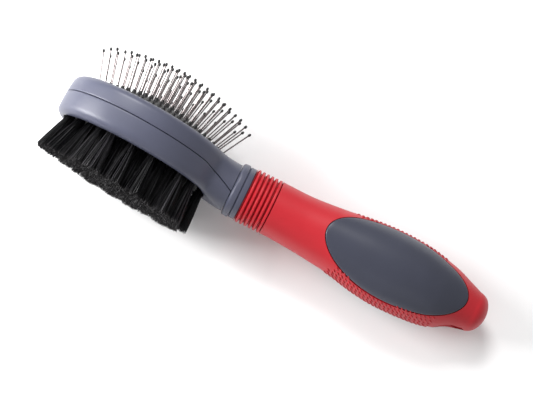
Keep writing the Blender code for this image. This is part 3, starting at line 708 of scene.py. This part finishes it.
def build_ticks(red):
    """Short slanting ridges on the grip above and below the insets."""
    shape = ball_profile(0.0, TICK_LENGTH / 2.0, TICK_RADIUS)
    ticks = []
    for way, first, last in ((1.0, *TICKS_ABOVE), (-1.0, *TICKS_BELOW)):
        for row in range(-TICK_ROWS, TICK_ROWS + 1):
            side = row * TICK_ROW_SPACING
            begin = first + TICK_FRONT_BOW * abs(row / TICK_ROWS) ** 2 + TICK_PITCH * 0.5 * (row % 2)
            for along in np.arange(begin, last, TICK_PITCH):
                top, bottom, wide = handle_section(along)
                angle = way * (pi / 2.0 - asin(side / wide))
                rise = abs((top - bottom) / 2.0 * sin(angle)) - way * INSET_RISE
                reach = ((along - INSET_CENTRE) / INSET_HALF_LENGTH) ** 2
                reach += (rise / (INSET_HALF_HEIGHT + TICK_MARGIN)) ** 2
                if reach > 1.0:
                    here = np.array(handle_point(along, angle, 0.0))
                    there = np.array(handle_point(along + 0.0004, angle + way * TICK_SLANT, 0.0))
                    heading = (there - here) / np.linalg.norm(there - here)
                    ticks.append(turned(here, heading, shape, 10))
    settle(mesh_piece("grip_ticks", *joined(ticks), red), "brush", "red_soft_rubber")


def hang_cutter():
    """The long hole through the handle's end."""
    straight = HANG_HALF_LENGTH - HANG_HALF_WIDTH
    outline = []
    for sign in (1.0, -1.0):
        for a in np.linspace(-pi / 2.0, pi / 2.0, 17):
            reach = straight + HANG_HALF_WIDTH * cos(a)
            outline.append((sign * reach, sign * HANG_HALF_WIDTH * sin(a)))
    points = [(HANG_CENTRE + x, y, z) for y in (-0.03, 0.03) for x, z in outline]
    count = len(outline)
    ends = [list(range(count)), list(range(count, 2 * count))]
    faces = [*grid_faces(2, count, close_columns=True), *ends]
    return mesh_piece("hang_cutter", points, faces, None)


def scoop_cutter():
    """The dish round the hang slot's mouth on the bristle side."""
    centre = np.array((HANG_CENTRE, SCOOP_HEIGHT, 0.0))
    shape = turned(centre, (1.0, 0.0, 0.0), ball_profile(0.0, SCOOP_HALF_LENGTH, SCOOP_RADIUS, 24), 48)
    return mesh_piece("scoop_cutter", *shape, None)


def land_cutter():
    """Everything above the flat land round the hang slot, on the pin side."""
    front, rear = np.array(HANG_LAND_FRONT), np.array(HANG_LAND_REAR)
    ahead = (rear - front) / np.linalg.norm(rear - front)
    up = np.array([-ahead[1], ahead[0]])
    section = [front - ahead * 0.01, rear + ahead * 0.02, rear + ahead * 0.02 + up * 0.02,
               front - ahead * 0.01 + up * 0.02]
    points = [(*p, z) for z in (-0.03, 0.03) for p in section]
    faces = [*grid_faces(2, 4, close_columns=True), [0, 1, 2, 3], [4, 5, 6, 7]]
    return mesh_piece("land_cutter", points, faces, None)


def build_grip(red):
    """The soft grip with its ribs, its pockets for the insets and the hang slot."""
    segments = 144
    ribbed = np.linspace(GRIP_START, RIB_FIRST + (RIB_COUNT - 0.5) * RIB_PITCH, RIB_COUNT * 16)
    plain = np.linspace(ribbed[-1], TAIL_START, 90)[1:]
    rings = [handle_ring(x, rib_offset(x), segments) for x in (*ribbed, *plain)]
    tail = HANDLE_END - TAIL_START
    turn = np.linspace(0.0, pi / 2.0, 18)[1:]
    rings += [handle_ring(TAIL_START + tail * sin(a), 0.0, segments) for a in turn]
    points = np.array(rings)
    count = len(rings)
    faces = [*grid_faces(count, segments, close_columns=True), list(range(segments))]
    grip = mesh_piece("soft_grip", points.reshape(-1, 3), faces, red)
    for side in (1, -1):
        cutter = inset_solid("pocket", side, GAP, [(0.0, 0.003), (0.0, -GRIP_WALL - 0.001)], 20)
        boolean(grip, "DIFFERENCE", cutter)
    boolean(grip, "DIFFERENCE", hang_cutter())
    boolean(grip, "DIFFERENCE", scoop_cutter())
    boolean(grip, "DIFFERENCE", land_cutter())
    grip.data.shade_smooth()
    grip.data.set_sharp_from_angle(angle=radians(30.0))
    settle(grip, "brush", "red_soft_rubber", "grip_sleeve")


# ---------------------------------------------------------------- materials
def new_material(name):
    """A Principled material, its nodes and its links."""
    look = bpy.data.materials.new(name)
    look.use_nodes = True
    nodes, links = look.node_tree.nodes, look.node_tree.links
    return look, nodes, links, nodes["Principled BSDF"]


def noise(nodes, links, scale, detail=3.0):
    """Noise over the object's own coordinates."""
    where = nodes.new("ShaderNodeTexCoord").outputs["Object"]
    texture = nodes.new("ShaderNodeTexNoise")
    texture.inputs["Scale"].default_value = scale
    texture.inputs["Detail"].default_value = detail
    links.new(where, texture.inputs["Vector"])
    return texture.outputs["Fac"]


def ramp(nodes, links, source, stops):
    """A colour ramp; stops are (place, colour)."""
    node = nodes.new("ShaderNodeValToRGB")
    elements = node.color_ramp.elements
    while len(elements) < len(stops):
        elements.new(0.5)
    for element, (place, colour) in zip(elements, stops):
        element.position = place
        element.color = (*colour, 1.0)
    links.new(source, node.inputs["Fac"])
    return node.outputs["Color"]


def spread(nodes, links, source, low, high):
    """Map 0..1 to low..high."""
    node = nodes.new("ShaderNodeMapRange")
    node.inputs["To Min"].default_value = low
    node.inputs["To Max"].default_value = high
    links.new(source, node.inputs["Value"])
    return node.outputs["Result"]


def bump(nodes, links, height, distance, strength):
    """A bump from a height."""
    node = nodes.new("ShaderNodeBump")
    node.inputs["Distance"].default_value = distance
    node.inputs["Strength"].default_value = strength
    links.new(height, node.inputs["Height"])
    return node.outputs["Normal"]


def moulded(name, colour, change, roughness, grain, grain_depth, specular=0.5):
    """Moulded plastic or rubber: fine spark-eroded grain, slight mottling of colour and gloss."""
    look, nodes, links, shader = new_material(name)
    mottle = noise(nodes, links, 55.0)
    tone = ramp(nodes, links, mottle, ((0.3, tuple(c * (1.0 - change) for c in colour)),
                                       (0.7, tuple(c * (1.0 + change) for c in colour))))
    links.new(tone, shader.inputs["Base Color"])
    links.new(spread(nodes, links, noise(nodes, links, 160.0), *roughness), shader.inputs["Roughness"])
    fine = noise(nodes, links, grain, 2.0)
    links.new(bump(nodes, links, fine, grain_depth, 0.5), shader.inputs["Normal"])
    shader.inputs["Specular IOR Level"].default_value = specular
    return look


def steel_material():
    """Bright drawn wire."""
    look, nodes, links, shader = new_material("bright_steel_wire")
    shader.inputs["Metallic"].default_value = 1.0
    tone = ramp(nodes, links, noise(nodes, links, 400.0), ((0.3, STEEL_DARK), (0.7, STEEL_BRIGHT)))
    links.new(tone, shader.inputs["Base Color"])
    links.new(spread(nodes, links, noise(nodes, links, 900.0), 0.18, 0.32), shader.inputs["Roughness"])
    return look


def nylon_material():
    """Black filaments, each a little different, greyer at their cut tips."""
    look, nodes, links, shader = new_material("black_nylon_filament")
    layer = nodes.new("ShaderNodeUVMap")
    layer.uv_map = "fibre"
    parts = nodes.new("ShaderNodeSeparateXYZ")
    links.new(layer.outputs["UV"], parts.inputs["Vector"])
    own = ramp(nodes, links, parts.outputs["Y"], ((0.0, NYLON_DARK), (0.8, NYLON_USUAL), (1.0, NYLON_PALE)))
    tipped = nodes.new("ShaderNodeMix")
    tipped.data_type = "RGBA"
    links.new(own, tipped.inputs["A"])
    tipped.inputs["B"].default_value = (*NYLON_TIP, 1.0)
    near_tip = nodes.new("ShaderNodeMapRange")
    near_tip.inputs["From Min"].default_value = 0.96
    near_tip.inputs["To Max"].default_value = 0.6
    links.new(parts.outputs["X"], near_tip.inputs["Value"])
    links.new(near_tip.outputs["Result"], tipped.inputs["Factor"])
    links.new(tipped.outputs["Result"], shader.inputs["Base Color"])
    shader.inputs["Roughness"].default_value = 0.38
    shader.inputs["Specular IOR Level"].default_value = 0.18
    return look


def dress_cad_nodes(plastic, grey):
    """Finishes for the CAD solids that stay; the bristle plate's near black is painted shade between the
    tuft roots.
    """
    for node, look in (("bristle_plate", plastic), ("handle_core", grey)):
        data = frame["nodes"][node].data
        data.materials.clear()
        data.materials.append(look)


# ---------------------------------------------------------------- stage, light, camera
def build_camera():
    """A long lens almost straight above the brush."""
    view = (Matrix.Rotation(CAMERA_ROLL, 3, "Z") @ Matrix.Rotation(CAMERA_TURN, 3, "X")
            @ Matrix.Rotation(CAMERA_LEAN, 3, "Y"))
    up, back = Vector(view[1]), Vector(view[2])
    place = BRUSH @ (back * CAMERA_DISTANCE)
    aim = BRUSH @ Vector(CAMERA_AIM)
    turn = BRUSH.to_3x3()
    behind = (place - aim).normalized()
    right = (turn @ up).cross(behind).normalized()
    above = behind.cross(right)
    axes = Matrix((right, above, behind)).transposed().to_4x4()
    data = bpy.data.cameras.new("camera")
    data.lens = CAMERA_LENS
    data.sensor_width = 36.0
    camera = bpy.data.objects.new("camera", data)
    bpy.context.scene.collection.objects.link(camera)
    camera.matrix_world = Matrix.Translation(place) @ axes
    bpy.context.scene.camera = camera


def area_light(name, place, target, size, energy):
    """A square soft light aimed at a point."""
    data = bpy.data.lights.new(name, "AREA")
    data.size = size
    data.energy = energy
    light = bpy.data.objects.new(name, data)
    bpy.context.scene.collection.objects.link(light)
    light.location = place
    light.rotation_euler = (Vector(target) - Vector(place)).to_track_quat("-Z", "Y").to_euler()


def build_stage():
    """A pale floor under a soft white sky."""
    half = FLOOR_HALF_SIZE
    corners = [(-half, -half, 0.0), (half, -half, 0.0), (half, half, 0.0), (-half, half, 0.0)]
    data = bpy.data.meshes.new("floor")
    data.from_pydata(corners, [], [(0, 1, 2, 3)])
    floor = bpy.data.objects.new("floor", data)
    bpy.context.scene.collection.objects.link(floor)
    look, nodes, links, shader = new_material("pale_floor")
    tone = ramp(nodes, links, noise(nodes, links, 30.0), ((0.3, FLOOR_DARK), (0.7, FLOOR_PALE)))
    links.new(tone, shader.inputs["Base Color"])
    shader.inputs["Roughness"].default_value = 0.7
    shader.inputs["Specular IOR Level"].default_value = 0.2
    data.materials.append(look)

    world = bpy.data.worlds.new("studio")
    world.use_nodes = True
    sky = world.node_tree.nodes["Background"]
    sky.inputs["Color"].default_value = (1.0, 1.0, 1.0, 1.0)
    sky.inputs["Strength"].default_value = SKY_STRENGTH
    bpy.context.scene.world = world
    for light in LIGHTS:
        area_light(*light)


def build():
    """Every piece of the brush, its stage, light and camera."""
    bpy.context.scene.view_settings.view_transform = "Standard"
    build_camera()
    build_stage()
    # grey, used on the head, collar and core, is the copy of the grey plastic painted lighter as painted
    # light; dark_grey is the insets' darker copy.
    # colour, its change, roughness, scale and depth of the grain, specular level
    grey = moulded("grey_plastic_painted_lighter", HEAD_GREY_PAINTED_LIGHTER, 0.06, (0.33, 0.42), 2600.0, 0.00002, 0.42)
    dark_grey = moulded("grey_inset_plastic", INSET_GREY, 0.06, (0.30, 0.38), 2600.0, 0.00002, 0.42)
    red = moulded("red_soft_rubber", GRIP_RED, 0.05, (0.38, 0.50), 2200.0, 0.00003, 0.40)
    rubber = moulded("black_rubber", RUBBER_BLACK, 0.15, (0.45, 0.6), 1800.0, 0.00003)
    bead = moulded("black_bead_plastic", BEAD_BLACK, 0.1, (0.25, 0.35), 2500.0, 0.00001)
    # the bristle plate's near black finish is painted shade between the tuft roots
    plastic = moulded("plate_painted_shade_black", PLATE_SHADE_BLACK, 0.1, (0.4, 0.5), 2000.0, 0.00002)
    dress_cad_nodes(plastic, grey)
    upper_half = head_half("head_upper_half", True, PAD_WINDOW, grey)
    settle(upper_half, "brush", "grey_plastic", "pin_frame")
    lower_half = head_half("head_lower_half", False, BRISTLE_WINDOW, grey)
    settle(lower_half, "brush", "grey_plastic", "bristle_shell")
    rows = pin_rows()
    build_pad(rows, rubber)
    build_pins(rows, steel_material(), bead)
    build_bristles(nylon_material())
    build_collar(grey)
    build_insets(dark_grey)
    build_grip(red)
    build_ticks(red)


build()
